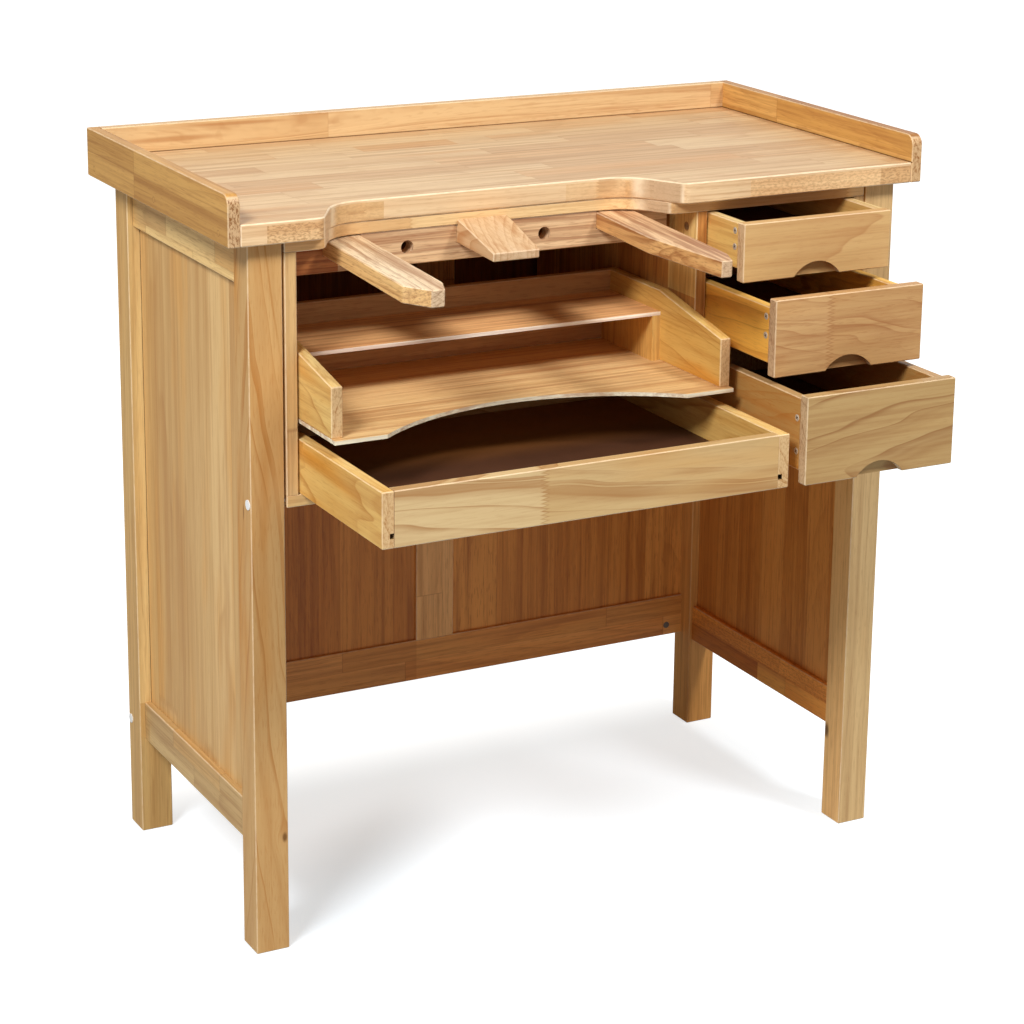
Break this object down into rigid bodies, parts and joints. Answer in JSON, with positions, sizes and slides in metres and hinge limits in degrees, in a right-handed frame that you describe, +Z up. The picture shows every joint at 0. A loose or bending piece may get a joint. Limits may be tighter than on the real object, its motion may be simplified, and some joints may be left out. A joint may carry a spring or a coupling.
{
  "type": "jeweler's bench",
  "caption": "Wooden jeweler's bench: gallery round the worktop, curved cut-out, rail with bench pin and armrests, pull-out trays over a knee space and a stack of drawers.",
  "frame": {"origin": "on the floor, at the middle of the bench as it stands with its drawers drawn out", "axes": "+X to the right of the person at the bench, +Y away from them, +Z up"},
  "size_m": [1, 0.729, 0.9955],
  "materials": {
    "worktop_wood": "clear-lacquered edge-glued staves",
    "gallery_wood": "clear-lacquered",
    "leg_wood": "clear-lacquered",
    "panel_wood": "clear-lacquered, edge-glued staves",
    "frame_wood": "clear-lacquered",
    "cabinet_wood": "clear-lacquered",
    "rail_wood": "clear-lacquered, fine pinkish grain",
    "pin_wood": "plain sanded",
    "runner_wood": "plain sawn",
    "tray_wood": "clear-lacquered",
    "drawer_wood": "clear-lacquered",
    "smooth_board": "smooth dark-faced fibreboard",
    "bolt_steel": "zinc-plated",
    "cap_plastic": "white"
  },
  "bodies": {
    "bench": {"back_bottom_rail": "frame_wood", "back_gallery_rail": "gallery_wood", "back_left_panel": "panel_wood", "back_muntin": "frame_wood", "back_right_panel": "panel_wood", "back_top_rail": "frame_wood", "barrel_nuts": "bolt_steel", "bolt_caps": "cap_plastic", "cabinet_divider": "cabinet_wood", "cabinet_floor_board": "cabinet_wood", "cabinet_left_side": "cabinet_wood", "cabinet_right_side": "cabinet_wood", "cabinet_top": "cabinet_wood", "drawer_runners": "runner_wood", "frame_bolts": "bolt_steel", "left_back_leg": "leg_wood", "left_bottom_rail": "frame_wood", "left_front_leg": "leg_wood", "left_gallery_rail": "gallery_wood", "left_panel": "panel_wood", "left_top_rail": "frame_wood", "pin_rail": "rail_wood", "right_back_leg": "leg_wood", "right_bottom_rail": "frame_wood", "right_front_leg": "leg_wood", "right_gallery_rail": "gallery_wood", "right_panel": "panel_wood", "right_top_rail": "frame_wood", "tray_runners": "runner_wood", "worktop": "worktop_wood"},
    "upper_tray": {"tray_back_wall": "tray_wood", "tray_floor": "tray_wood", "tray_left_wall": "tray_wood", "tray_right_wall": "tray_wood", "tray_shelf": "tray_wood", "tray_shelf_supports": "tray_wood"},
    "catch_tray": {"catch_tray_back": "tray_wood", "catch_tray_bottom": "smooth_board", "catch_tray_front": "tray_wood", "catch_tray_left_side": "tray_wood", "catch_tray_right_side": "tray_wood"},
    "drawer_1": {"drawer_1_back": "drawer_wood", "drawer_1_bottom": "smooth_board", "drawer_1_front": "drawer_wood", "drawer_1_left_side": "drawer_wood", "drawer_1_right_side": "drawer_wood"},
    "drawer_2": {"drawer_2_back": "drawer_wood", "drawer_2_bottom": "smooth_board", "drawer_2_front": "drawer_wood", "drawer_2_left_side": "drawer_wood", "drawer_2_right_side": "drawer_wood"},
    "drawer_3": {"drawer_3_back": "drawer_wood", "drawer_3_bottom": "smooth_board", "drawer_3_front": "drawer_wood", "drawer_3_left_side": "drawer_wood", "drawer_3_right_side": "drawer_wood"},
    "left_armrest": {"left_armrest": "pin_wood"},
    "right_armrest": {"right_armrest": "pin_wood"},
    "bench_pin": {"bench_pin": "pin_wood"}
  },
  "joints": [
    {"name": "upper_tray_slide", "type": "slide", "parent": "bench", "child": "upper_tray", "axis": [0, -1, 0], "range_m": [-0.105, 0.05]},
    {"name": "catch_tray_slide", "type": "slide", "parent": "bench", "child": "catch_tray", "axis": [0, -1, 0], "range_m": [-0.239, 0.061]},
    {"name": "drawer_1_slide", "type": "slide", "parent": "bench", "child": "drawer_1", "axis": [0, -1, 0], "range_m": [-0.088, 0.212]},
    {"name": "drawer_2_slide", "type": "slide", "parent": "bench", "child": "drawer_2", "axis": [0, -1, 0], "range_m": [-0.168, 0.132]},
    {"name": "drawer_3_slide", "type": "slide", "parent": "bench", "child": "drawer_3", "axis": [0, -1, 0], "range_m": [-0.247, 0.053]},
    {"name": "left_armrest_slide", "type": "slide", "parent": "bench", "child": "left_armrest", "axis": [0, -0.999, -0.0436], "range_m": [0, 0.03]},
    {"name": "right_armrest_slide", "type": "slide", "parent": "bench", "child": "right_armrest", "axis": [0, -0.999, -0.0436], "range_m": [0, 0.03]},
    {"name": "bench_pin_slide", "type": "slide", "parent": "bench", "child": "bench_pin", "axis": [0, -0.999, -0.0436], "range_m": [0, 0.03]}
  ]
}
